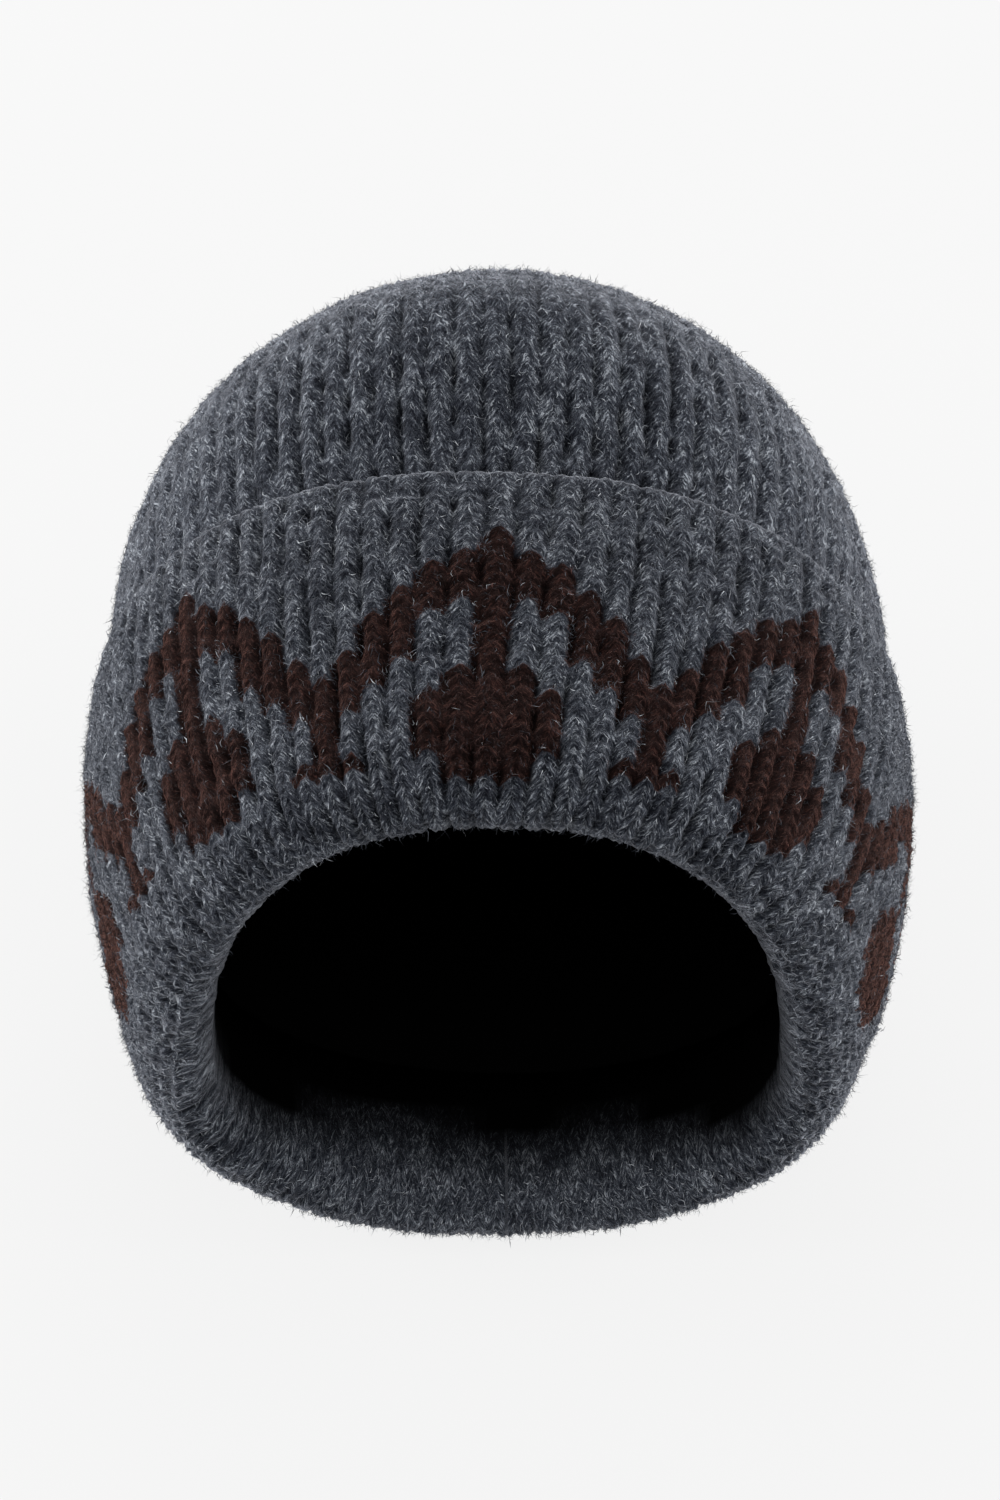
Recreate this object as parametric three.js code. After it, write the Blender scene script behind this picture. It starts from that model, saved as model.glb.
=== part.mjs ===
// Cuffed knit beanie lying on its back, opening toward -Y, tip toward +Y, millimetres, +Z up.
// The cap is one thick knitted tube closed at the tip, with its lower end folded outward
// and turned up over itself. It is drawn as two bodies, the crown and the turned-up cuff.
import * as THREE from 'three';
import { mergeVertices } from 'three/addons/utils/BufferGeometryUtils.js';

// Knit
const WALES = 96;
const KNIT_THICK = 6;
const RIB_DEPTH = 1.6;
const CUFF_STRETCH = 0.28;
const CROWN_STRETCH = 0.1;
const STRETCHED_WALES = 3.2;

// Turned-up cuff
const CUFF_WIDTH = 230;
const CUFF_DEPTH = 97;
const CUFF_FRONT_HEIGHT = 181;
const FOLD_WIDTH = 164;
const FOLD_FRONT_HEIGHT = 150;
const FOLD_THICK = 19;
const LIP_DEPTH = 42;
const RIM_LEAN = 26;
const EDGE_SKEW = 7;
const FLOOR_FLAT = 3;

// Crown
const CROWN_WIDTH = 223;
const CROWN_HEIGHT = 195.5;
const TOP_PEAK = 3.5;
const PEAK_WIDTH = 30;
const CROWN_LENGTH = 214;
const TIP_HEIGHT = 110;
const TIP_GATHER = 5;

// Open joint between the two bodies
const JOINT_GAP = 1;
const LAYER_GAP = 1;
const EDGE_REACH = 3;

// Outline of a section round the cap: roundness above and below its widest level
const UPPER_POWER = 2.32;
const LOWER_POWER = 2.08;
const WIDEST_SHARE = 0.36;

// Outer half of the fold up to the cuff edge, one row per section.
// along: share of the cuff depth; wide: from fold width (0) to cuff width (1);
// front: from fold front height (0) to cuff front height (1);
// back: from fold middle (0) down to the floor (1); ribs: share of the rib depth
const CUFF_ROWS = [
  { along: 0.000, wide: 0.00, front: 0.00, back: 0.00, ribs: 0.3 },
  { along: 0.026, wide: 0.17, front: 0.16, back: 0.35, ribs: 0.6 },
  { along: 0.093, wide: 0.35, front: 0.30, back: 0.68, ribs: 0.8 },
  { along: 0.390, wide: 0.72, front: 0.52, back: 1.00, ribs: 1.0 },
  { along: 0.600, wide: 0.89, front: 0.68, back: 1.00, ribs: 1.0 },
  { along: 0.800, wide: 0.98, front: 0.84, back: 1.00, ribs: 1.0 },
  { along: 1.000, wide: 1.00, front: 1.00, back: 1.00, ribs: 0.7 },
];

// Inner half of the fold, from the lip end to the fold.
// along: share of the lip depth; inset, lift: shares of the fold thickness, inward from the
// fold at the sides and front, and up from its middle at the back
const LIP_ROWS = [
  { along: 1.000, inset: 0.13, lift: 0.26 },
  { along: 0.360, inset: 0.40, lift: 0.42 },
  { along: 0.120, inset: 0.35, lift: 0.35 },
];

// Crown beneath the cuff. along: share of the way from the lip end to past the cuff edge;
// air: from the lip (0) to close under the cuff (1)
const HIDDEN_ROWS = [
  { along: 0.0, air: 0.00 },
  { along: 1.0, air: 1.00 },
];

// Crown beyond the cuff edge. along: share of the way from the edge to the tip;
// wide: share of the crown width; front: from tip height (0) to crown height (1);
// back: share of the tip height; peak: share of the low peak along the top;
// ribs: share of the rib depth
const CROWN_ROWS = [
  { along: 0.11, wide: 1.000, front: 0.800, back: 0.000, peak: 0.0, ribs: 1.0 },
  { along: 0.21, wide: 0.998, front: 0.895, back: 0.000, peak: 0.2, ribs: 1.0 },
  { along: 0.33, wide: 0.982, front: 0.970, back: 0.000, peak: 0.6, ribs: 1.0 },
  { along: 0.46, wide: 0.935, front: 1.000, back: 0.000, peak: 1.0, ribs: 1.0 },
  { along: 0.60, wide: 0.848, front: 0.930, back: 0.020, peak: 1.0, ribs: 1.0 },
  { along: 0.74, wide: 0.715, front: 0.765, back: 0.110, peak: 0.6, ribs: 1.1 },
  { along: 0.86, wide: 0.545, front: 0.550, back: 0.280, peak: 0.2, ribs: 1.2 },
  { along: 0.95, wide: 0.345, front: 0.330, back: 0.550, peak: 0.0, ribs: 1.3 },
  { along: 1.00, wide: 0.130, front: 0.120, back: 0.840, peak: 0.0, ribs: 1.0 },
];

const clamp01 = (v) => Math.min(1, Math.max(0, v));
const mix = (a, b, t) => a + (b - a) * t;
const signedPower = (v, p) => Math.sign(v) * Math.abs(v) ** p;

// One closed section of the cap: two points for each wale, evenly spread round the outline
// and stretched wider over the middle of the front. Points start at the back, on the floor.
function sectionRing({ y, half, front, back, peak, stretch }) {
  const fine = 720;
  const widest = back + (front - back) * WIDEST_SHARE;
  const outline = [];
  const length = [0];
  for (let i = 0; i <= fine; i += 1) {
    const turn = -Math.PI + (2 * Math.PI * i) / fine;
    const s = Math.sin(turn);
    const c = Math.cos(turn);
    const power = c >= 0 ? UPPER_POWER : LOWER_POWER;
    const reach = c >= 0 ? front - widest : widest - back;
    const x = half * signedPower(s, 2 / power);
    const rise = c > 0 ? peak * TOP_PEAK * Math.exp(-((x / PEAK_WIDTH) ** 2)) : 0;
    const z = widest + reach * signedPower(c, 2 / power) + rise;
    outline.push([x, z]);
    if (i > 0) {
      const [px, pz] = outline[i - 1];
      length.push(length[i - 1] + Math.hypot(x - px, z - pz));
    }
  }
  const total = length[fine];
  const reachOf = (w) => w + stretch * STRETCHED_WALES * Math.atan(w / STRETCHED_WALES);
  const ring = [];
  let k = 0;
  for (let j = 0; j < 2 * WALES; j += 1) {
    const fromFront = (j - WALES) / 2;
    const want = (0.5 + reachOf(fromFront) / (2 * reachOf(WALES / 2))) * total;
    while (k < fine - 1 && length[k + 1] < want) k += 1;
    const t = clamp01((want - length[k]) / (length[k + 1] - length[k]));
    const x = mix(outline[k][0], outline[k + 1][0], t);
    const z = mix(outline[k][1], outline[k + 1][1], t);
    ring.push(new THREE.Vector3(x, y, z));
  }
  return ring;
}

// The opening leans: the back of the rim reaches further toward -Y than the front,
// and the cuff edge sits a little lower on the +X side
function leanRing(ring) {
  for (const p of ring) {
    const toEdge = clamp01(p.y / CUFF_DEPTH);
    const skew = (EDGE_SKEW * p.x) / CUFF_WIDTH;
    const high = p.z / FOLD_FRONT_HEIGHT - 0.73;
    p.y += RIM_LEAN * high * (1 - toEdge) - skew * Math.min(toEdge, 1) * fadeBeyond(p.y);
  }
  return ring;
}

// 1 up to the cuff edge, falling to 0 at the tip
function fadeBeyond(y) {
  return 1 - clamp01((y - CUFF_DEPTH) / (CROWN_LENGTH - CUFF_DEPTH));
}

// Outward directions of a stack of rings, ring i running to i + 1
function ringNormals(rings) {
  return rings.map((ring, i) => ring.map((p, j) => {
    const before = rings[Math.max(0, i - 1)][j];
    const after = rings[Math.min(rings.length - 1, i + 1)][j];
    const left = ring[(j + ring.length - 1) % ring.length];
    const right = ring[(j + 1) % ring.length];
    const along = after.clone().sub(before);
    const round = right.clone().sub(left);
    return along.cross(round).normalize().negate();
  }));
}

// Moves a ring along its normals; ribs raise every second point and sink the others
function movedRing(ring, normals, offset, ribs) {
  return ring.map((p, j) => {
    const rib = (j % 2 === 0 ? 0.5 : -0.5) * RIB_DEPTH * ribs;
    return p.clone().addScaledVector(normals[j], offset + rib);
  });
}

// The knit that lies on the floor goes flat there
function flattened(ring, level) {
  for (const p of ring) p.z = Math.max(p.z, level);
  return ring;
}

// Faces between two rings, facing out of the knit where b follows a in the skin's order
function bridge(triangles, a, b) {
  for (let j = 0; j < a.length; j += 1) {
    const k = (j + 1) % a.length;
    triangles.push(a[j], b[k], b[j], a[j], a[k], b[k]);
  }
}

function meshOf(name, triangles, colour, roughness) {
  const flat = new Float32Array(triangles.length * 3);
  triangles.forEach((p, i) => p.toArray(flat, i * 3));
  const raw = new THREE.BufferGeometry();
  raw.setAttribute('position', new THREE.BufferAttribute(flat, 3));
  const geometry = mergeVertices(raw, 1e-3);
  geometry.computeVertexNormals();
  const material = new THREE.MeshStandardMaterial({ color: colour, roughness, metalness: 0 });
  const mesh = new THREE.Mesh(geometry, material);
  mesh.name = name;
  return mesh;
}

// Sections of the cuff skin from the lip end, round the fold, to the cuff edge
const foldMiddle = FOLD_THICK / 2;
const cuffSection = (row) => ({
  y: row.along * CUFF_DEPTH,
  half: mix(FOLD_WIDTH, CUFF_WIDTH, row.wide) / 2,
  front: mix(FOLD_FRONT_HEIGHT, CUFF_FRONT_HEIGHT, row.front),
  back: mix(foldMiddle, -FLOOR_FLAT, row.back),
  peak: 0,
  ribs: row.ribs,
  stretch: CUFF_STRETCH,
});
const lipSection = (row) => ({
  y: row.along * LIP_DEPTH,
  half: FOLD_WIDTH / 2 - row.inset * FOLD_THICK,
  front: FOLD_FRONT_HEIGHT - row.inset * FOLD_THICK,
  back: foldMiddle + row.lift * FOLD_THICK,
  peak: 0,
  ribs: 0.3,
  stretch: CUFF_STRETCH,
});
const cuffSections = [...LIP_ROWS.map(lipSection), ...CUFF_ROWS.map(cuffSection)];

function makeCuff() {
  const skin = cuffSections.map((s) => leanRing(sectionRing(s)));
  const normals = ringNormals(skin);
  const outer = skin.map((ring, i) => {
    return flattened(movedRing(ring, normals[i], 0, cuffSections[i].ribs), 0);
  });
  const last = skin.length - 1;
  const underRows = [last, last - 1, last - 2, last - 4, 2, 0];
  const under = underRows.map((i) => {
    return flattened(movedRing(skin[i], normals[i], -KNIT_THICK, 0), KNIT_THICK);
  });
  const loop = [...outer, ...under];
  const triangles = [];
  loop.forEach((ring, i) => bridge(triangles, ring, loop[(i + 1) % loop.length]));
  return meshOf('cuff', triangles, 0x454b52, 0.95);
}

// Section of the cuff skin at a distance y behind the fold
function cuffAt(y) {
  const rows = CUFF_ROWS.map(cuffSection);
  let i = 0;
  while (i < rows.length - 2 && rows[i + 1].y < y) i += 1;
  const t = clamp01((y - rows[i].y) / (rows[i + 1].y - rows[i].y));
  return {
    half: mix(rows[i].half, rows[i + 1].half, t),
    front: mix(rows[i].front, rows[i + 1].front, t),
    back: mix(rows[i].back, rows[i + 1].back, t),
  };
}

const hiddenSection = (row) => {
  const y = mix(LIP_DEPTH + JOINT_GAP, CUFF_DEPTH + EDGE_REACH, row.along);
  const lip = lipSection(LIP_ROWS[0]);
  const cover = cuffAt(y);
  const inset = KNIT_THICK + LAYER_GAP;
  return {
    y,
    half: mix(lip.half + KNIT_THICK, cover.half - inset, row.air),
    front: mix(lip.front + KNIT_THICK, cover.front - inset, row.air),
    back: mix(lip.back - KNIT_THICK, inset, row.air),
    peak: 0,
    ribs: 0,
    stretch: CROWN_STRETCH,
  };
};
const crownSection = (row) => ({
  y: mix(CUFF_DEPTH, CROWN_LENGTH, row.along),
  half: (row.wide * CROWN_WIDTH) / 2,
  front: mix(TIP_HEIGHT, CROWN_HEIGHT, row.front),
  back: row.back > 0 ? row.back * TIP_HEIGHT : -FLOOR_FLAT,
  peak: row.peak,
  ribs: row.ribs,
  stretch: CROWN_STRETCH,
});
const crownSections = [...HIDDEN_ROWS.map(hiddenSection), ...CROWN_ROWS.map(crownSection)];

function makeCrown() {
  const skin = crownSections.map((s) => leanRing(sectionRing(s)));
  const normals = ringNormals(skin);
  const outer = skin.map((ring, i) => {
    return flattened(movedRing(ring, normals[i], 0, crownSections[i].ribs), 0);
  });
  const last = skin.length - 1;
  const innerRows = [last - 2, last - 5, last - 9, 0];
  const inner = innerRows.map((i) => {
    return flattened(movedRing(skin[i], normals[i], -KNIT_THICK, 0), KNIT_THICK);
  });
  const tip = new THREE.Vector3(0, CROWN_LENGTH - TIP_GATHER, TIP_HEIGHT);
  const innerTip = new THREE.Vector3(0, tip.y - KNIT_THICK, TIP_HEIGHT);
  const loop = [...inner, ...outer];
  const triangles = [];
  for (let i = 0; i < loop.length - 1; i += 1) bridge(triangles, loop[i], loop[i + 1]);
  const first = loop[0];
  const end = loop[loop.length - 1];
  for (let j = 0; j < end.length; j += 1) {
    const k = (j + 1) % end.length;
    triangles.push(end[j], end[k], tip);
    triangles.push(innerTip, first[k], first[j]);
  }
  return meshOf('crown', triangles, 0x3f454b, 0.95);
}

const cap = new THREE.Group();
cap.name = 'cuffed_knit_beanie';
cap.add(makeCrown(), makeCuff());

// Stand the cap on the floor with its base centre at the origin
const bounds = new THREE.Box3().setFromObject(cap);
const middle = bounds.getCenter(new THREE.Vector3());
for (const mesh of cap.children) {
  mesh.geometry.translate(-middle.x, -middle.y, -bounds.min.z);
}

export default cap;
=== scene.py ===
# %% [markdown]
# # A cuffed knit beanie
# The cap is a very thick knitted tube, gathered shut at the tip, with its lower end folded
# outward at the rim and turned up as a deep cuff. A band of dark brown arches and drops is
# knitted into the cuff. It lies on its back, opening toward us. The solids hold the form;
# this scene dresses them with the knit itself: columns, slanted stitches, brushed fibres.

# %% Load the frame
import math
import bpy
import numpy as np
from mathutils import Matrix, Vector, noise


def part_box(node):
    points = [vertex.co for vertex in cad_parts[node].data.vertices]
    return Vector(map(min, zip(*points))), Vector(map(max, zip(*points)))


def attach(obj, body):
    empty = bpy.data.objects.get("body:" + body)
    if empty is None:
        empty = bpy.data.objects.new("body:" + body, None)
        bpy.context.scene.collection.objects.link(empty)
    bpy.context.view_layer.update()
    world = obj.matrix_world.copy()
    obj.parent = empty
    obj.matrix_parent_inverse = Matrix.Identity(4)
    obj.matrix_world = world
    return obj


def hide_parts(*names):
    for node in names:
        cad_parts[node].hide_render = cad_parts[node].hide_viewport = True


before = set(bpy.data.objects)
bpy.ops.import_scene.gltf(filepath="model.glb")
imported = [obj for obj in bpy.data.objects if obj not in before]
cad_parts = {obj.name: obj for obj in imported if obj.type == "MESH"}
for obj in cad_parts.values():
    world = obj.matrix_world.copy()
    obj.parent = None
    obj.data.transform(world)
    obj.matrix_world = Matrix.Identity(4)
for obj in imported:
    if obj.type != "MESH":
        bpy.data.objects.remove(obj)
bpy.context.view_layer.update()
bpy.ops.object.select_all(action="DESELECT")

# %% [markdown]
# ## Sizes
# Knit is drawn from the same few sections as the solids, so that the cloth lies exactly
# where the collision body is. Each row is one section round the cap: how far behind the
# fold it is, its half width, its heights at the front and the back, in millimetres, and
# how much it shares in the low peak along the top.

# %% Sections of the cap
COLUMNS = 96
KNIT = 6.0
CUFF_DEPTH, CUFF_WIDTH, CUFF_FRONT = 97.0, 230.0, 181.0
FOLD_WIDTH, FOLD_FRONT, FOLD_THICK = 164.0, 150.0, 19.0
LIP_DEPTH, RIM_LEAN, EDGE_SKEW, FLOOR_FLAT = 42.0, 26.0, 7.0, 3.0
CROWN_WIDTH, CROWN_HEIGHT, CROWN_LENGTH = 223.0, 195.5, 214.0
TIP_HEIGHT, TIP_GATHER, TOP_PEAK, PEAK_WIDTH = 110.0, 5.0, 3.5, 30.0
TIP_HALF_WIDTH, TIP_HALF_HEIGHT = 4.0, 3.8
CROWN_START, UNDER_CUFF, LAYER_GAP = 43.0, 100.0, 7.0
UPPER_POWER, LOWER_POWER, WIDEST = 2.32, 2.08, 0.36
FRONT_STRETCH, RIM_PIVOT = 3.2, 0.73


def mix(a, b, t):
    return a + (b - a) * t


lip_rows = [
    (along * LIP_DEPTH, FOLD_WIDTH / 2 - inset * FOLD_THICK,
     FOLD_FRONT - inset * FOLD_THICK, FOLD_THICK / 2 + lift * FOLD_THICK, 0.0)
    for along, inset, lift in ((1.0, 0.13, 0.26), (0.36, 0.40, 0.42), (0.12, 0.35, 0.35))
]
cuff_rows = [
    (along * CUFF_DEPTH, mix(FOLD_WIDTH, CUFF_WIDTH, wide) / 2,
     mix(FOLD_FRONT, CUFF_FRONT, front), mix(FOLD_THICK / 2, -FLOOR_FLAT, back), 0.0)
    for along, wide, front, back in (
        (0.000, 0.00, 0.00, 0.00), (0.026, 0.17, 0.16, 0.35), (0.093, 0.35, 0.30, 0.68),
        (0.206, 0.50, 0.40, 0.89), (0.390, 0.72, 0.52, 1.00), (0.600, 0.89, 0.68, 1.00),
        (0.800, 0.98, 0.84, 1.00), (1.000, 1.00, 1.00, 1.00))
]
crown_rows = [
    (CROWN_START, lip_rows[0][1] + KNIT, lip_rows[0][2] + KNIT, lip_rows[0][3] - KNIT, 0.0),
    (UNDER_CUFF, CUFF_WIDTH / 2 - LAYER_GAP, CUFF_FRONT - LAYER_GAP, LAYER_GAP, 0.0),
] + [
    (mix(CUFF_DEPTH, CROWN_LENGTH, along), wide * CROWN_WIDTH / 2,
     mix(TIP_HEIGHT, CROWN_HEIGHT, front), back * TIP_HEIGHT if back > 0 else -FLOOR_FLAT, peak)
    for along, wide, front, back, peak in (
        (0.11, 1.000, 0.800, 0.00, 0.0), (0.21, 0.998, 0.895, 0.00, 0.2),
        (0.33, 0.982, 0.970, 0.00, 0.6), (0.46, 0.935, 1.000, 0.00, 1.0),
        (0.60, 0.848, 0.930, 0.02, 1.0), (0.74, 0.715, 0.765, 0.11, 0.6),
        (0.86, 0.545, 0.550, 0.28, 0.2), (0.95, 0.345, 0.330, 0.55, 0.0),
        (1.00, 0.130, 0.120, 0.84, 0.0))
] + [(CROWN_LENGTH - 2, TIP_HALF_WIDTH,
      TIP_HEIGHT + TIP_HALF_HEIGHT, TIP_HEIGHT - TIP_HALF_HEIGHT, 0.0)]
SHIFT_Y = (CROWN_LENGTH + 0.7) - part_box("crown")[1][1] * 1000
print("sections", len(lip_rows), len(cuff_rows), len(crown_rows), "shift", round(SHIFT_Y, 2))

# %% [markdown]
# ## The surface between the sections
# A real cap has no corners, so the sections are joined by a smooth curve. Each section is
# a softened oval that is fuller above than below. Points round it are spread evenly by
# length, a little wider over the front, because that is where the head stretches a cap.


# %% Smooth surface
def along_curve(rows, where):
    """Sections at distances measured along the rows' own profile."""
    rows = np.array(rows, float)
    step = np.hypot(np.diff(rows[:, 0]), np.diff(rows[:, 1]) * 0.5 + np.diff(rows[:, 2]) * 0.5)
    t = np.r_[0, np.cumsum(step)]
    slope = np.gradient(rows, t, axis=0)
    flat = np.diff(rows, axis=0) / np.diff(t)[:, None]
    for i in range(1, len(rows) - 1):
        turn = flat[i - 1] * flat[i] <= 0
        slope[i, turn] = 0
    k = np.clip(np.searchsorted(t, where) - 1, 0, len(t) - 2)
    h = (t[k + 1] - t[k])[:, None]
    s = ((where - t[k]) / (t[k + 1] - t[k]))[:, None]
    return ((2 * s**3 - 3 * s**2 + 1) * rows[k] + (s**3 - 2 * s**2 + s) * h * slope[k]
            + (3 * s**2 - 2 * s**3) * rows[k + 1] + (s**3 - s**2) * h * slope[k + 1])


def profile_length(rows):
    rows = np.array(rows, float)
    return float(np.hypot(np.diff(rows[:, 0]),
                          np.diff(rows[:, 1]) * 0.5 + np.diff(rows[:, 2]) * 0.5).sum())


def section_ring(half, front, back, peak, column, stretch):
    turn = np.linspace(-math.pi, math.pi, 721)
    s, c = np.sin(turn), np.cos(turn)
    widest = back + (front - back) * WIDEST
    power = np.where(c >= 0, UPPER_POWER, LOWER_POWER)
    reach = np.where(c >= 0, front - widest, widest - back)
    x = half * np.sign(s) * np.abs(s) ** (2 / power)
    z = widest + reach * np.sign(c) * np.abs(c) ** (2 / power)
    z += (c > 0) * peak * TOP_PEAK * np.exp(-(x / PEAK_WIDTH) ** 2)
    length = np.r_[0, np.cumsum(np.hypot(np.diff(x), np.diff(z)))]
    spread = column + stretch * FRONT_STRETCH * np.arctan(column / FRONT_STRETCH)
    full = COLUMNS / 2 + stretch * FRONT_STRETCH * math.atan(COLUMNS / (2 * FRONT_STRETCH))
    want = np.mod(0.5 + spread / (2 * full), 1.0) * length[-1]
    return np.interp(want, length, x), np.interp(want, length, z)


def surface(sections, column, stretch, twist):
    """Grid of points, one row of columns for each section, each row turned by its twist."""
    grid = np.zeros((len(sections), len(column), 3))
    for i, (y, half, front, back, peak) in enumerate(sections):
        x, z = section_ring(half, front, back, peak, column + twist[i], stretch)
        grid[i, :, 0], grid[i, :, 1], grid[i, :, 2] = x, y, z
    y, edge = grid[..., 1], np.clip(grid[..., 1] / CUFF_DEPTH, 0, 1)
    fade = 1 - np.clip((y - CUFF_DEPTH) / (CROWN_LENGTH - CUFF_DEPTH), 0, 1)
    high = grid[..., 2] / FOLD_FRONT - RIM_PIVOT
    grid[..., 1] = y + RIM_LEAN * high * (1 - edge) - EDGE_SKEW * grid[..., 0] / CUFF_WIDTH * edge * fade
    return grid


def between_rows(grid, place):
    """Points of the grid at fractional rows, one fractional row for each column."""
    low = np.clip(place.astype(int), 0, len(grid) - 2)
    part = (place - low)[..., None]
    cols = np.arange(grid.shape[1])[None, :]
    return grid[low, cols] * (1 - part) + grid[low + 1, cols] * part


def outward(grid):
    along = np.gradient(grid, axis=0)
    round_ = np.roll(grid, -1, axis=1) - np.roll(grid, 1, axis=1)
    normal = np.cross(round_, along)
    return normal / np.maximum(np.linalg.norm(normal, axis=2, keepdims=True), 1e-9)


print("profiles: cuff", round(profile_length(lip_rows + cuff_rows)), "mm, crown",
      round(profile_length(crown_rows)), "mm")

# %% [markdown]
# ## Columns and slanted stitches
# Each column of the knit is a round ridge, and each stitch on it is two legs that lean
# together like a roof. Six points across a column, and four along a stitch on the cuff or
# three on the crown, are enough for the ridge, its groove and the legs, when the grid itself
# leans with the legs. A bump alone would leave the outline smooth; here it is knitted too.

# %% Stitch grid
ACROSS = np.array([-0.5, -0.34, -0.17, 0.0, 0.17, 0.34])
column_at = np.concatenate([c + ACROSS for c in range(-COLUMNS // 2 + 1, COLUMNS // 2)])
column_at = np.r_[ACROSS[3:] - COLUMNS // 2, column_at, ACROSS[:3] + COLUMNS // 2]
column_no = np.round(column_at + 1e-6)
offset = np.abs(column_at - column_no)
column_mm = 7.1
LEG_LEAN = 1.7
LUMP = 0.38
rng = np.random.default_rng(7)


def wander(points, size, seed):
    """Soft noise, -1 to 1, over an array of points in millimetres."""
    shape = points.shape[:-1]
    flat = points.reshape(-1, 3) / size + seed * 17.3
    return np.array([noise.noise(Vector(p)) for p in flat]).reshape(shape)


def knitted(grid, normal, stitch, depth, height, groove_depth, combed, seed):
    """Raises a smooth grid into ridges of leaning stitches. stitch counts courses, and
    combed (0 to 1) is where the two legs of each column lie as clean parallel strands."""
    ridge = 1 - (2 * offset) ** 2.6
    groove = np.clip(1 - offset / 0.17, 0, 1)
    uneven = wander(grid, 6.0, seed)
    tuft = wander(grid, 2.7, seed + 5)
    valley = (1 - ridge) * height * np.clip(0.75 + 1.5 * uneven, 0.05, 1.7)
    legs = np.cos(2 * math.pi * (stitch + 0.3 * uneven)) * (1 - (2 * offset) ** 4)
    relief = 0.3 * height - valley - groove_depth * groove * (0.7 + uneven)
    relief += LUMP * legs * (offset > 0.05) * (1 + tuft + combed) + 0.65 * tuft * (1 - 0.7 * combed)
    relief += 0.7 * wander(grid, 24.0, seed + 3)
    round_ = np.roll(grid, -1, axis=1) - np.roll(grid, 1, axis=1)
    round_ /= np.maximum(np.linalg.norm(round_, axis=2, keepdims=True), 1e-9)
    sway = (0.7 * wander(grid, 16.0, seed + 7) + 0.35 * wander(grid, 4.0, seed + 9)) * depth
    moved = grid + normal * (relief * depth)[..., None] + round_ * sway[..., None]
    # Painted shade: the returned crest value falls in the valleys and grooves, and the yarn finish mixes
    # those points toward black.
    crest_light = 1 - (1 - ridge) * np.clip(0.7 + 1.3 * uneven, 0, 1) * np.clip(height / 1.8, 0, 1)
    crest_light = crest_light - (groove * 0.45 + 0.12 * (1 - legs)) * combed
    return moved, np.clip(crest_light, 0, 1) * np.ones_like(stitch)


print("stitch grid", len(column_at), "points round for", COLUMNS, "columns")

# %% [markdown]
# ## The pattern in the cuff
# The band repeats every 12 columns: a peaked arch with a stem under each peak that ends in
# a round drop. Such knitted bands are charted on squared paper, so the chart is short: for
# each distance from the middle of a repeat, which courses are brown, counted from the top.

# %% Chart of the brown yarn
BROWN_ROWS = {
    0: ((0, 21),),
    1: ((2, 6), (12, 21)),
    2: ((3, 7), (14, 19)),
    3: ((5, 11),),
    4: ((7, 13),),
    5: ((10, 15), (19, 20)),
    6: ((12, 20),),
}
FIRST_BROWN = 5


def brown_at(column, course):
    """1 where the chart has brown yarn, for arrays of columns and courses."""
    place = np.abs((column + 6) % 12 - 6).astype(int)
    row = np.floor(course - FIRST_BROWN)
    brown = np.zeros(np.broadcast(place, row).shape)
    for distance, spans in BROWN_ROWS.items():
        for start, end in spans:
            brown[(place == distance) & (row >= start) & (row < end)] = 1.0
    return brown


one_repeat = brown_at(np.arange(-5, 7)[None, :], np.arange(40)[:, None])
print("brown stitches in a repeat of 12 columns", int(one_repeat.sum()))

# %% [markdown]
# ## From grids to meshes
# A closed sheet of knit is a stack of rings joined by quads. Attributes on the points tell
# the yarn material what it needs: how the fibres lie, where the yarn is brown, and how much
# painted shade a point gets, deep in a valley or far inside the cap.

# %% Mesh helpers
def sheet_mesh(name, rings, attributes):
    rows, cols = rings.shape[:2]
    points = rings.reshape(-1, 3).copy()
    points[:, 1] -= SHIFT_Y
    points *= 0.001
    r = np.arange(rows)[:, None]
    c = np.arange(cols)[None, :]
    a = r * cols + c
    b = r * cols + (c + 1) % cols
    d = ((r + 1) % rows) * cols + c
    e = ((r + 1) % rows) * cols + (c + 1) % cols
    quads = np.stack([a, b, e, d], -1).reshape(-1, 4)
    mesh = bpy.data.meshes.new(name)
    mesh.from_pydata(points.tolist(), [], quads.tolist())
    for key, values in attributes.items():
        kind = "FLOAT_VECTOR" if values.ndim == 3 else "FLOAT"
        layer = mesh.attributes.new(key, kind, "POINT")
        field = "vector" if kind == "FLOAT_VECTOR" else "value"
        layer.data.foreach_set(field, values.astype(np.float32).ravel())
    mesh.shade_smooth()
    piece = bpy.data.objects.new(name, mesh)
    bpy.context.collection.objects.link(piece)
    print(name, len(points), "points", 2 * len(quads), "triangles")
    return piece


def fibre_lay(distance):
    """Along and across the leaning legs, in millimetres, and a number for each column."""
    x = offset * column_mm * np.ones_like(distance)
    slant = math.radians(55)
    along = x * math.cos(slant) + distance * math.sin(slant)
    across = x * math.sin(slant) - distance * math.cos(slant)
    return np.stack([along, across, column_at * 3.7 * np.ones_like(distance)], -1)


# %% [markdown]
# ## The cuff
# One sheet: from the lip inside the opening, round the thick fold, up the outside to the
# soft rolled edge, and back down beneath itself. Courses are counted from the edge and laid
# at equal lengths along the cloth, so they run further up the sides, where the way to the
# fold is longer. The knit also turns a little to one side on its way down.

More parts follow.
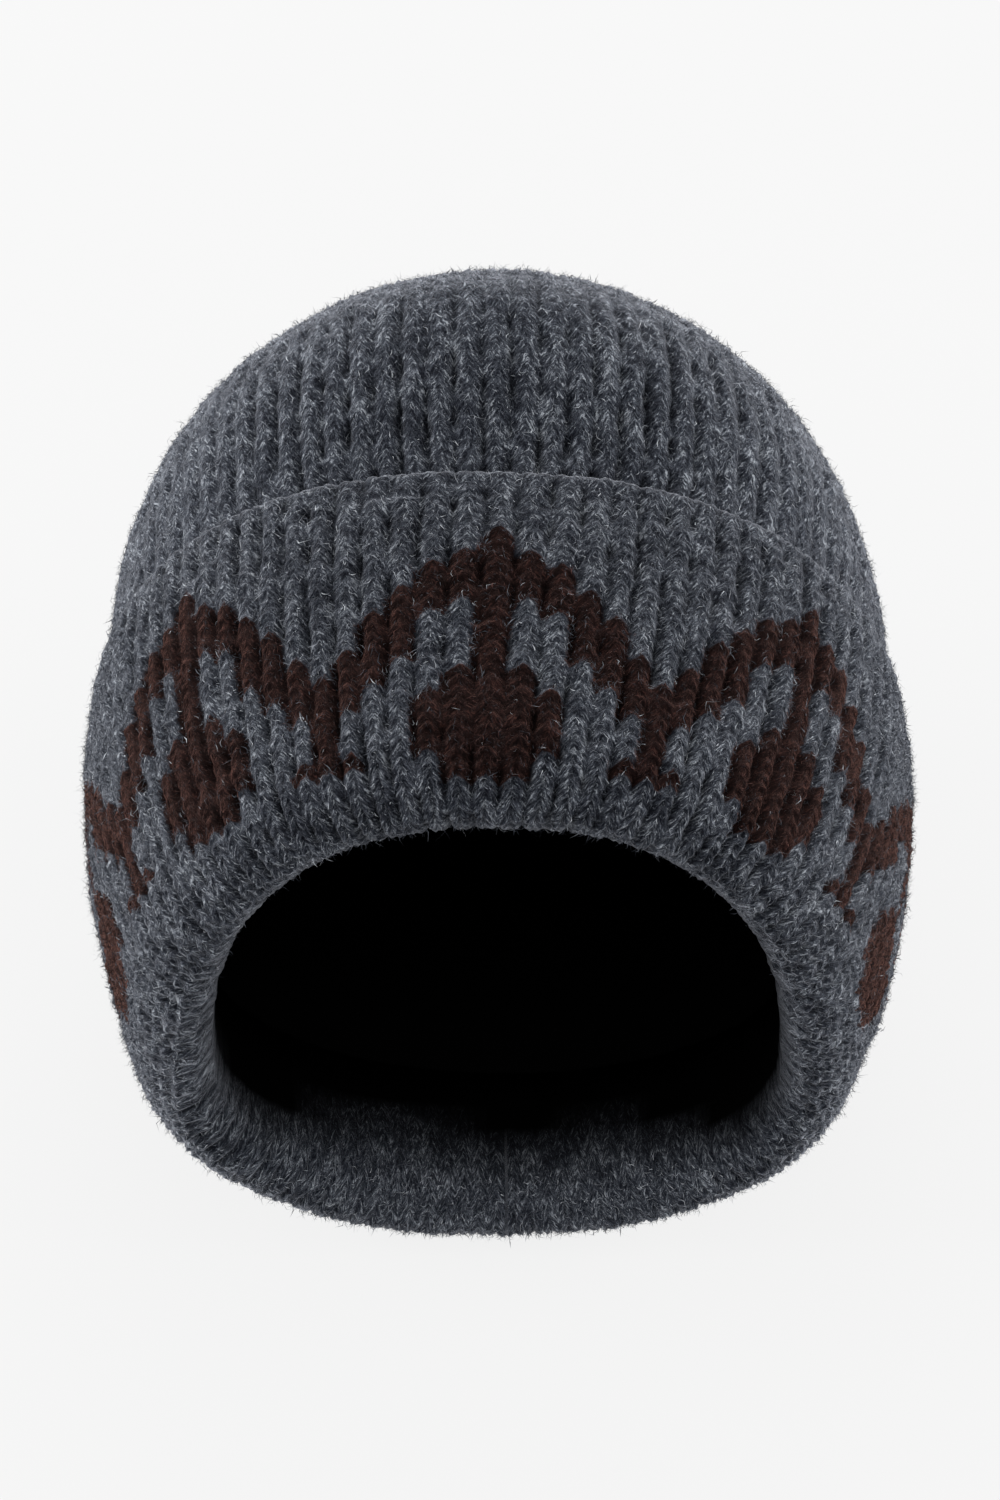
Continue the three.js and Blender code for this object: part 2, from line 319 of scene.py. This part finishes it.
# %% Cuff surface
COURSE, SHOWN_COURSES = 3.35, 33.5
EDGE_TURN, FOLD_TURN = 0.2, -0.45
FINE = 260
cuff_profile = lip_rows + cuff_rows
cuff_length = profile_length(cuff_profile)
fold_at = profile_length(lip_rows + cuff_rows[:1])
base_rows = np.linspace(0, cuff_length, FINE)
twist = np.interp(base_rows, [fold_at, cuff_length], [FOLD_TURN, EDGE_TURN])
smooth = surface(along_curve(cuff_profile, base_rows), column_at, 0.28, twist)
steps = np.linalg.norm(np.diff(smooth[::-1], axis=0), axis=2)
from_edge = np.concatenate([np.zeros((1, len(column_at))), np.cumsum(steps, axis=0)])
fold_mm = from_edge[FINE - 1 - int(fold_at / cuff_length * (FINE - 1))]

courses = np.arange(0, SHOWN_COURSES, 0.25)[::-1]
lean_fade = np.clip((courses - 0.5) / 3, 0, 1) * np.clip((SHOWN_COURSES - courses) / 3, 0, 1)
leaned = courses[:, None] + LEG_LEAN * (offset[None, :] - 0.25) * lean_fade[:, None]
taller = 1 + 0.2 * np.clip((np.abs(column_at) - 18) / 30, 0, 1)
depth_mm = leaned * COURSE * taller
place = np.zeros_like(depth_mm)
for j in range(len(column_at)):
    place[:, j] = FINE - 1 - np.interp(depth_mm[:, j], from_edge[:, j], np.arange(FINE))
lip_share = np.array([0.0, 0.3, 0.55, 0.75, 0.9])[:, None]
place = np.concatenate([place[:1] * lip_share, place])
depth_mm = np.concatenate([depth_mm[:1] + 30 * (1 - lip_share), depth_mm])
courses = np.r_[np.full(len(lip_share), courses[0]), courses]
cuff_grid = between_rows(smooth, place)
cuff_normal = between_rows(outward(smooth), place)
cuff_normal /= np.linalg.norm(cuff_normal, axis=2, keepdims=True)
print("cuff", round(float(from_edge[-1].min())), "to", round(float(from_edge[-1].max())), "mm long,",
      len(courses), "rows, fold at", round(float(fold_mm.min())), "to", round(float(fold_mm.max())))

# %% Cuff knit
past_fold = courses[:, None] * COURSE * taller - fold_mm
past_fold[:len(lip_share)] += 30 * (1 - lip_share)
behind = np.clip((np.abs(column_at) - 33) / 8, 0, 1)
# Painted shade: past the fold the yarn is mixed toward black, starting later at the back, to stand for the
# shade inside the cap.
inside = np.clip((past_fold - 3 - 8 * behind) / (9 + 7 * behind), 0, 1)
near_fold = np.clip(1 + past_fold / 34, 0, 1) * np.clip(1 - past_fold / 6, 0, 1) * (1 - 0.75 * behind)
sideways = np.clip((np.abs(column_at) - 12) / 14, 0, 1)
stitch = np.round(courses * 4)[:, None] / 4 * np.ones((1, len(column_at)))
cuff_depth_of_knit = np.clip(courses / 1.2, 0.4, 1)[:, None] * (1 - 0.6 * np.clip(past_fold / 10, 0, 1))
cuff_height = 1.8 - 0.7 * sideways * (1 - near_fold) - 0.6 * behind
cuff_skin, cuff_crest_light = knitted(cuff_grid, cuff_normal, stitch, cuff_depth_of_knit, cuff_height,
                                0.35 + 1.1 * near_fold, near_fold, 1)
cuff_skin[..., 2] = np.maximum(cuff_skin[..., 2], 0.0)
# Painted shade: the front of the cuff, away from the fold and the sides, is mixed a little more toward
# black; past the fold the valley shade gives way to the inside shade.
cuff_crest_light *= 1 - 0.17 * (1 - near_fold) * (1 - 0.6 * sideways)
cuff_crest_light = np.maximum(cuff_crest_light, np.clip(past_fold / 9, 0, 0.9))
brown = brown_at(column_no[None, :], courses[:, None])
for axis in (0, 1, 0, 1):
    brown = 0.25 * np.roll(brown, 1, axis) + 0.5 * brown + 0.25 * np.roll(brown, -1, axis)
print("brown share of the cuff's points", round(float((brown > 0.5).mean()), 3))

# %% Rolled edge and underside
last, towards = cuff_skin[-1], cuff_skin[-1] - cuff_skin[-3]
towards /= np.linalg.norm(towards, axis=1, keepdims=True)
edge_normal = cuff_normal[-1]
half_knit = KNIT / 2
rows_in_light = 9
edge_turns = np.radians([25, 50, 80, 110, 140, 170])
edge_rows = []
for angle in edge_turns:
    edge_rows.append(last + edge_normal * half_knit * (math.cos(angle) - 1)
                     + towards * half_knit * math.sin(angle))
under_rows = []
cuff_out = outward(smooth)
for share in (0.99, 0.86, 0.70, 0.50, 0.33, 0.25, 0.12, 0.0):
    k = int(share * (FINE - 1))
    under_rows.append(smooth[k] - cuff_out[k] * KNIT)
under = np.array(edge_rows + under_rows)
least_z = np.where(np.arange(len(under)) < len(edge_rows), 0.0, KNIT)
under[..., 2] = np.maximum(under[..., 2], least_z[:, None])
cuff_rings = np.concatenate([cuff_skin, under])
extra = np.zeros((len(under), len(column_at)))
# Painted shade: the underside rows beyond those in light are mixed fully toward black.
hidden = extra + (np.arange(len(under)) >= rows_in_light)[:, None]
past_edge = np.r_[edge_turns * half_knit, 10.0 + 14.0 * np.arange(len(under_rows))]
lay = fibre_lay(np.concatenate([depth_mm, depth_mm[-1:] - past_edge[:, None]]))
cuff = sheet_mesh("cuff_knit", cuff_rings, {
    "lay": lay,
    "brown": np.concatenate([brown, extra]),
    # Painted shade: the rolled edge and underside get a fixed share of black.
    "crest_light": np.concatenate([cuff_crest_light, extra + 0.6]),
    "inside": np.concatenate([inside, hidden]),
})

# %% [markdown]
# ## The crown
# The same knit carries on above the cuff and closes at the tip, where all the columns are
# drawn together on one thread, so the cloth pleats there. Where the cuff covers it, the
# sheet is plain and coarse, because nothing of it shows.

# %% Crown surface
crown_length = profile_length(crown_rows)
base_rows = np.linspace(0, crown_length, FINE)
crown_sections = along_curve(crown_rows, base_rows)
crown_smooth = surface(crown_sections, column_at, 0.1, np.zeros(FINE))
hidden_mm = base_rows[np.argmax(crown_sections[:, 0] > 88)]
shown_mm = crown_length - hidden_mm
CROWN_COURSE = 3.8
crown_courses = np.arange(0, shown_mm / CROWN_COURSE, 1 / 3)
last_course = shown_mm / CROWN_COURSE
crown_fade = np.clip(crown_courses / 3, 0, 1) * np.clip((last_course - crown_courses) / 5, 0, 1)
crown_leaned = crown_courses[:, None] + LEG_LEAN * (offset[None, :] - 0.25) * crown_fade[:, None]
crown_mm = np.clip(hidden_mm + crown_leaned * CROWN_COURSE, 0, crown_length)
place = crown_mm / crown_length * (FINE - 1)
all_normal = outward(crown_smooth)
crown_grid = between_rows(crown_smooth, place)
crown_normal = between_rows(all_normal, place)
crown_normal /= np.linalg.norm(crown_normal, axis=2, keepdims=True)
print("crown", round(crown_length), "mm long, of which", round(float(shown_mm)), "mm shows, in",
      len(crown_courses), "rows")

# %% Gathered tip
centre = np.array([0.0, 0.0, TIP_HEIGHT])
radius = np.hypot(crown_grid[..., 0], crown_grid[..., 2] - TIP_HEIGHT)
near_tip = np.clip(1 - (crown_length - crown_mm) / 62, 0, 1)
room = np.clip((crown_length - crown_mm) / 34, 0.12, 1)
high_up = np.clip((crown_grid[..., 1] - 112) / 45, 0, 1)
to_side = np.clip((np.abs(crown_grid[..., 0]) - 30) / 50, 0, 1)
crown_height = 2.3 - 1.65 * np.maximum(high_up, to_side)
crown_skin, crown_crest_light = knitted(
    crown_grid, crown_normal, crown_courses[:, None] * np.ones((1, len(column_at))), room,
    crown_height, 0.3, 0.0, 2)
pleat = np.cos(2 * math.pi * column_at / 4 + 0.6 * wander(crown_grid, 14.0, 9))
fullness = 2.5 * near_tip**1.3 * np.clip(radius / 24, 0, 1)
crown_skin += crown_normal * (fullness * (pleat - 0.4))[..., None]
crown_skin[..., 1] -= TIP_GATHER * np.clip(1 - radius / 16, 0, 1) ** 0.7
crown_skin[..., 2] = np.maximum(crown_skin[..., 2], 0.0)
print("columns are", round(float(radius[-1].max()), 1), "mm from the centre where the thread holds them")

# %% Crown piece
hidden_rows = np.linspace(0, 0.9, 4) * hidden_mm / crown_length * (FINE - 1)
start = np.array([crown_smooth[int(k)] for k in hidden_rows])
tip_rows = [centre + (crown_skin[-1] - centre) * (share, 1.0, share) - (0.0, sink, 0.0)
            for share, sink in ((0.55, 0.6), (0.10, 2.0))]
inner_rows = []
for share in (0.985, 0.95, 0.90, 0.84, 0.77, 0.70, 0.62, 0.53, 0.44, 0.34, 0.22, 0.10, 0.0):
    k = int(share * (FINE - 1))
    inner_rows.append(crown_smooth[k] - all_normal[k] * KNIT)
inner = np.array(inner_rows)
inner[..., 2] = np.maximum(inner[..., 2], KNIT)
crown_rings = np.concatenate([start, crown_skin, tip_rows, inner])
n_start, n_tip, n_inner = len(start), len(tip_rows), len(inner)
crown_lay = fibre_lay(-crown_mm)
ones = np.ones((1, len(column_at)))
crown = sheet_mesh("crown_knit", crown_rings, {
    "lay": np.concatenate([np.repeat(crown_lay[:1], n_start, 0), crown_lay,
                           np.repeat(crown_lay[-1:], n_tip + n_inner, 0)]),
    "brown": np.zeros((len(crown_rings), len(column_at))),
    # Painted shade: the gathered tip rows get a fixed share of black, and the rows hidden under the cuff
    # and inside the crown are mixed fully toward black.
    "crest_light": np.concatenate([np.repeat(ones, n_start, 0), crown_crest_light, 0.7 * np.repeat(ones, n_tip, 0),
                             np.repeat(ones, n_inner, 0)]),
    "inside": np.concatenate([np.repeat(ones, n_start, 0),
                              np.zeros((len(crown_skin) + n_tip, len(column_at))),
                              np.repeat(ones, n_inner, 0)]),
})

# %% [markdown]
# ## Shader maths in Python
# Long node trees are hard to read. This small class wraps one socket and lets Python's own
# + - * / build the Math nodes, so that a finish reads like a formula.


# %% Sockets as numbers
class Wire:
    def __init__(self, tree, socket):
        self.tree, self.socket = tree, socket

    def node(self, kind, settings=None, **sockets):
        made = self.tree.nodes.new(kind)
        for key, value in (settings or {}).items():
            if key == "stops":
                ramp = made.color_ramp
                while len(ramp.elements) < len(value):
                    ramp.elements.new(0.5)
                for stop, (place, colour) in zip(ramp.elements, value):
                    stop.position, stop.color = place, (*colour, 1.0)
            else:
                setattr(made, key, value)
        for key, value in sockets.items():
            target = made.inputs[int(key[1:])] if key[1:].isdigit() else made.inputs[key.replace("_", " ")]
            if isinstance(value, Wire):
                self.tree.links.new(value.socket, target)
            else:
                target.default_value = value
        return made

    def out(self, made, name=0):
        return Wire(self.tree, made.outputs[name])

    def maths(self, operation, *values):
        sockets = {f"i{k}": v for k, v in enumerate(values)}
        return self.out(self.node("ShaderNodeMath", {"operation": operation}, **sockets))

    def __add__(self, other):
        return self.maths("ADD", self, other)

    def __radd__(self, other):
        return self.maths("ADD", other, self)

    def __sub__(self, other):
        return self.maths("SUBTRACT", self, other)

    def __rsub__(self, other):
        return self.maths("SUBTRACT", other, self)

    def __mul__(self, other):
        return self.maths("MULTIPLY", self, other)

    def clamp(self):
        return self.maths("MINIMUM", self.maths("MAXIMUM", self, 0.0), 1.0)

    def step(self, low, high):
        return ((self - low) * (1.0 / (high - low))).clamp()

    def scaled(self, x, y, z):
        made = self.node("ShaderNodeVectorMath", {"operation": "MULTIPLY"}, i0=self, i1=(x, y, z))
        return self.out(made)

    def plus(self, other):
        return self.out(self.node("ShaderNodeVectorMath", {"operation": "ADD"}, i0=self, i1=other))

    def noise(self, scale, detail=2.0, roughness=0.55):
        made = self.node("ShaderNodeTexNoise", {"noise_dimensions": "3D"}, Vector=self,
                         Scale=scale, Detail=detail, Roughness=roughness)
        return self.out(made, 0)

    def ramp(self, stops):
        return self.out(self.node("ShaderNodeValToRGB", {"stops": stops}, Fac=self), 0)


def new_finish(name):
    finish = bpy.data.materials.new(name)
    finish.use_nodes = True
    tree = finish.node_tree
    shader = tree.nodes["Principled BSDF"]
    return finish, tree, shader


def attribute(tree, name, output="Fac"):
    made = tree.nodes.new("ShaderNodeAttribute")
    made.attribute_type = "GEOMETRY"
    made.attribute_name = name
    return Wire(tree, made.outputs[output])


def object_place(tree):
    return Wire(tree, tree.nodes.new("ShaderNodeTexCoord").outputs["Object"])


# %% [markdown]
# ## Heather yarn
# The grey is not one colour: dark, middle and pale fibres are spun together, so up close it
# is streaks along the yarn. Noise stretched along the lay of each stitch's legs gives the
# streaks; it could be painted, but then every side would need its own picture. The brown
# yarn is the same with its own tones, and its border is ragged because fibres cross it.
# Valleys between the columns, and the inside of the cap, are mixed toward black as painted shade.

# %% Yarn finish
GREY = ((0.0, (0.004, 0.005, 0.009)), (0.42, (0.027, 0.031, 0.041)),
        (0.70, (0.080, 0.089, 0.108)), (1.0, (0.34, 0.365, 0.40)))
BROWN = ((0.0, (0.004, 0.002, 0.002)), (0.45, (0.010, 0.005, 0.0045)),
         (0.75, (0.019, 0.009, 0.008)), (1.0, (0.050, 0.022, 0.018)))
# BLACK is the colour of the painted shade in the valleys and inside the cap.
BLACK = (0.001, 0.001, 0.001, 1.0)
FIBRE_MM, STRAND_MM = (2.6, 0.34), (8.0, 1.3)
VALLEY_SHADOW = 0.72


def soften(shader, roughness, specular, sheen, tint):
    shader.inputs["Roughness"].default_value = roughness
    shader.inputs["Specular IOR Level"].default_value = specular
    shader.inputs["Sheen Weight"].default_value = sheen
    shader.inputs["Sheen Roughness"].default_value = 0.32
    shader.inputs["Sheen Tint"].default_value = (*tint, 1.0)


def yarn_finish(name):
    finish, tree, grey = new_finish(name)
    brown = tree.nodes.new("ShaderNodeBsdfPrincipled")
    shade = tree.nodes.new("ShaderNodeBsdfPrincipled")
    lay_at = attribute(tree, "lay", "Vector")
    here = object_place(tree)
    drift = here.noise(900.0, 2.0)
    bent = lay_at.scaled(1 / FIBRE_MM[0], 1 / FIBRE_MM[1], 1.0).plus(
        drift.out(drift.node("ShaderNodeCombineXYZ", None, X=drift * 1.8, Y=drift * 4.0, Z=0.0)))
    fibres = bent.noise(1.0, 3.0, 0.65)
    strands = lay_at.scaled(1 / STRAND_MM[0], 1 / STRAND_MM[1], 1.0).noise(1.0, 2.0)
    blotch = here.noise(140.0, 2.0)
    tone = (0.42 + (fibres - 0.5) * 3.2 + (strands - 0.5) * 1.2 + (blotch - 0.5) * 0.8).clamp()
    crest_light = attribute(tree, "crest_light").clamp()
    bump = fibres.node("ShaderNodeBump", None, Strength=0.8, Distance=0.0007,
                       Height=(fibres * 0.7 + strands * 0.5))
    for shader, stops in ((grey, GREY), (brown, BROWN)):
        tree.links.new(tone.ramp(stops).socket, shader.inputs["Base Color"])
        tree.links.new(bump.outputs[0], shader.inputs["Normal"])
    soften(grey, 0.95, 0.12, 0.75, (0.80, 0.83, 0.92))
    soften(brown, 0.95, 0.06, 0.52, (0.84, 0.42, 0.34))
    soften(shade, 1.0, 0.0, 0.0, (1.0, 1.0, 1.0))
    shade.inputs["Base Color"].default_value = BLACK
    border = (attribute(tree, "brown") + (fibres - 0.5) * 1.1).step(0.28, 0.40)
    yarn = drift.node("ShaderNodeMixShader", None, i0=border, i1=drift.out(grey), i2=drift.out(brown))
    # Painted shade: valleys and the inside of the cap are mixed toward the black shader.
    inside_here = attribute(tree, "inside")
    shadow = (inside_here + (1.0 - crest_light) * (1.0 - inside_here) * VALLEY_SHADOW).clamp()
    whole = drift.node("ShaderNodeMixShader", None, i0=shadow, i1=drift.out(yarn), i2=drift.out(shade))
    tree.links.new(whole.outputs[0], tree.nodes["Material Output"].inputs["Surface"])
    return finish


knit_finish = yarn_finish("heather_knit")
for piece in (cuff, crown):
    piece.data.materials.append(knit_finish)
print("yarn finish", len(knit_finish.node_tree.nodes), "nodes")

# %% [markdown]
# ## Brushed fibres
# The knit is brushed, so short fibres stand off it and catch the light, most of all along
# its outline. Each is a thin kite of two triangles, bent in the middle, strewn over the knit
# with a fixed seed. Hair particles would look alike but would not leave Blender as a mesh.


# %% Strewn fibres
def strewn_fibres(name, grid, n, reach, width, lift, leg_side, keep, combed=None):
    """n fibres over a grid, denser where keep is high, along the legs where combed is."""
    cols = grid.shape[1]
    a, c = grid[:-1], grid[1:]
    b = np.roll(a, -1, axis=1)
    area = np.linalg.norm(b - a, axis=2) * np.linalg.norm(c - a, axis=2) * keep[:-1]
    chance = np.cumsum(area.ravel())
    pick = np.searchsorted(chance, rng.random(n) * chance[-1])
    i, j = pick // cols, pick % cols
    u, v = rng.random((n, 1)), rng.random((n, 1))
    jn = (j + 1) % cols
    a, b, c, d = grid[i, j], grid[i, jn], grid[i + 1, j], grid[i + 1, jn]
    root = (a * (1 - u) + b * u) * (1 - v) + (c * (1 - u) + d * u) * v
    across, along = b - a, c - a
    out = np.cross(across, along)
    for vector in (across, along, out):
        vector /= np.maximum(np.linalg.norm(vector, axis=1, keepdims=True), 1e-9)
    side = np.where(column_at[j] - column_no[j] >= -0.01, 1.0, -1.0)[:, None]
    comb = 0.0 if combed is None else combed[i, j][:, None]
    slant = np.radians(50 + 28 * comb + rng.normal(0, 42, (n, 1)) * (1 - 0.65 * comb))
    heading = across * np.cos(slant) * side * leg_side + along * np.sin(slant)
    heading *= rng.choice([-1.0, 1.0], (n, 1))
    length = reach * rng.uniform(0.45, 1.25, (n, 1))
    rise = np.abs(rng.normal(0, lift, (n, 1))) + 0.04
    curl = np.cross(heading, out) * rng.normal(0, 0.4, (n, 1))
    middle = root + (heading - curl * 0.5) * length * 0.5 + out * length * rise * 0.5
    tip = root + (heading + curl) * length * 0.95 + out * length * rise * rng.uniform(0.2, 1.2, (n, 1))
    flat = np.cross(heading, out)
    turn = rng.uniform(-0.9, 0.9, (n, 1))
    wide = (flat * np.cos(turn) + out * np.sin(turn)) * width * rng.uniform(0.6, 1.3, (n, 1)) / 2
    points = np.stack([root - out * 0.3, middle + wide, tip, middle - wide], 1)
    points[..., 2] = np.maximum(points[..., 2], 0.05)
    points[..., 1] -= SHIFT_Y
    mesh = bpy.data.meshes.new(name)
    first = np.arange(n)[:, None] * 4
    mesh.from_pydata((points.reshape(-1, 3) * 0.001).tolist(), [], (first + np.arange(4)).tolist())
    tone = np.clip(rng.normal(0.5, 0.25, n), 0, 1)
    layer = mesh.attributes.new("tone", "FLOAT", "POINT")
    layer.data.foreach_set("value", np.repeat(tone, 4).astype(np.float32))
    piece = bpy.data.objects.new(name, mesh)
    bpy.context.collection.objects.link(piece)
    print(name, n, "fibres", 2 * n, "triangles")
    return piece


def fibre_finish(name, stops, tint):
    finish, tree, shader = new_finish(name)
    colour = attribute(tree, "tone").ramp(stops)
    tree.links.new(colour.socket, shader.inputs["Base Color"])
    soften(shader, 0.8, 0.2, 0.1, tint)
    return finish


grey_fibre = fibre_finish("grey_fibre", (
    (0.0, (0.006, 0.007, 0.012)), (0.5, (0.046, 0.052, 0.066)),
    (0.8, (0.155, 0.168, 0.195)), (1.0, (0.50, 0.53, 0.57))), (0.85, 0.9, 1.0))
brown_fibre = fibre_finish("brown_fibre", (
    (0.0, (0.005, 0.002, 0.002)), (0.6, (0.017, 0.007, 0.0065)),
    (1.0, (0.080, 0.034, 0.028))), (0.8, 0.5, 0.4))

outside = np.clip(1 - inside * 2.5, 0, 1)
bare = outside * (0.15 + 0.85 * cuff_crest_light)
grey_keep = bare * (1 - brown) * (1 - 0.7 * near_fold)
brown_keep = bare * brown
from_tip, from_cuff = np.clip(radius / 60, 0.1, 1), np.clip(crown_courses / 4, 0, 1)
crown_keep = (0.15 + 0.85 * crown_crest_light) * from_tip * from_cuff[:, None]
cuff_fibres = strewn_fibres("cuff_fibres", cuff_skin, 98000, 2.7, 0.18, 0.20, 1, grey_keep, near_fold)
pattern_fibres = strewn_fibres("pattern_fibres", cuff_skin, 42000, 2.3, 0.18, 0.18, 1, brown_keep)
crown_fibres = strewn_fibres("crown_fibres", crown_skin, 98000, 2.7, 0.18, 0.22, -1, crown_keep)
cuff_fuzz = strewn_fibres("cuff_fuzz", cuff_skin, 34000, 2.8, 0.10, 0.45, 1, grey_keep + 0.4 * brown_keep)
crown_fuzz = strewn_fibres("crown_fuzz", crown_skin, 34000, 2.8, 0.10, 0.45, -1, crown_keep)
for piece in (cuff_fibres, crown_fibres, cuff_fuzz, crown_fuzz):
    piece.data.materials.append(grey_fibre)
pattern_fibres.data.materials.append(brown_fibre)

# %% [markdown]
# ## Which solid each piece stands for
# The knit sheets replace the two plain solids, and the fibres ride with them.

# %% Tie to the frame
for piece, node, slot in (
        (cuff, "cuff", "patterned_knit"), (cuff_fibres, "cuff", "patterned_knit"),
        (pattern_fibres, "cuff", "patterned_knit"), (cuff_fuzz, "cuff", "patterned_knit"),
        (crown, "crown", "grey_heather_knit"), (crown_fibres, "crown", "grey_heather_knit"),
        (crown_fuzz, "crown", "grey_heather_knit")):
    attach(piece, "root")
    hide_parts(node)
    print(piece.name, "stands for", node)

# %% [markdown]
# ## Floor, light and camera
# A wide pale floor, a bright even sky, and large soft lights at both sides and behind give
# the photograph's flat light with paler outlines. The camera looks down into the opening.

# %% Floor
bpy.ops.object.select_all(action="DESELECT")
bpy.ops.mesh.primitive_plane_add(size=8.0, location=(0.0, 0.0, 0.0))
floor = bpy.context.object
floor.name = "floor"
floor_finish, _, floor_shader = new_finish("pale_floor")
floor_shader.inputs["Base Color"].default_value = (0.05, 0.05, 0.05, 1.0)
floor_shader.inputs["Emission Color"].default_value = (1.0, 1.0, 1.0, 1.0)
floor_shader.inputs["Emission Strength"].default_value = 0.845
floor_shader.inputs["Roughness"].default_value = 1.0
floor_shader.inputs["Specular IOR Level"].default_value = 0.0
floor.data.materials.append(floor_finish)
print("floor", [round(size, 1) for size in floor.dimensions], "m")

# %% Light
world = bpy.data.worlds.new("studio")
bpy.context.scene.world = world
world.use_nodes = True
world.node_tree.nodes["Background"].inputs[0].default_value = (1.0, 1.0, 1.0, 1.0)
world.node_tree.nodes["Background"].inputs[1].default_value = 0.90
LIGHT_AIM = (0, 0, 0.1)


def soft_light(name, place, size, power):
    bpy.ops.object.light_add(type="AREA", location=place)
    lamp = bpy.context.object
    lamp.name = name
    lamp.data.shape = "SQUARE"
    lamp.data.size = size
    lamp.data.energy = power
    lamp.rotation_euler = (Vector(LIGHT_AIM) - Vector(place)).to_track_quat("-Z", "Y").to_euler()
    print(name, power, "W")


soft_light("left_soft", (-1.5, 0.1, 0.45), 0.8, 28)
soft_light("right_soft", (1.5, 0.1, 0.45), 0.8, 22)
soft_light("back_soft", (0.0, 1.6, 0.9), 1.0, 20)

# %% Camera
TILT, DISTANCE, FRAME_HEIGHT, FOCAL_PIXELS = 46.7, 0.798, 1500.0, 3015.0
tilt = math.radians(TILT)
looking = Vector((0.0, math.cos(tilt), -math.sin(tilt)))
target = Vector((0.0008, (63.0 - SHIFT_Y) * 0.001, 0.11524))
bpy.ops.object.camera_add(location=target - looking * DISTANCE)
camera = bpy.context.object
camera.rotation_euler = looking.to_track_quat("-Z", "Y").to_euler()
camera.data.sensor_fit = "VERTICAL"
camera.data.sensor_height = 36.0
camera.data.lens = FOCAL_PIXELS / FRAME_HEIGHT * camera.data.sensor_height
camera.data.clip_start, camera.data.clip_end = 0.01, 50.0
bpy.context.scene.camera = camera
bpy.context.scene.view_settings.view_transform = "Standard"
print("camera", [round(v, 3) for v in camera.location], "lens", round(camera.data.lens, 1))
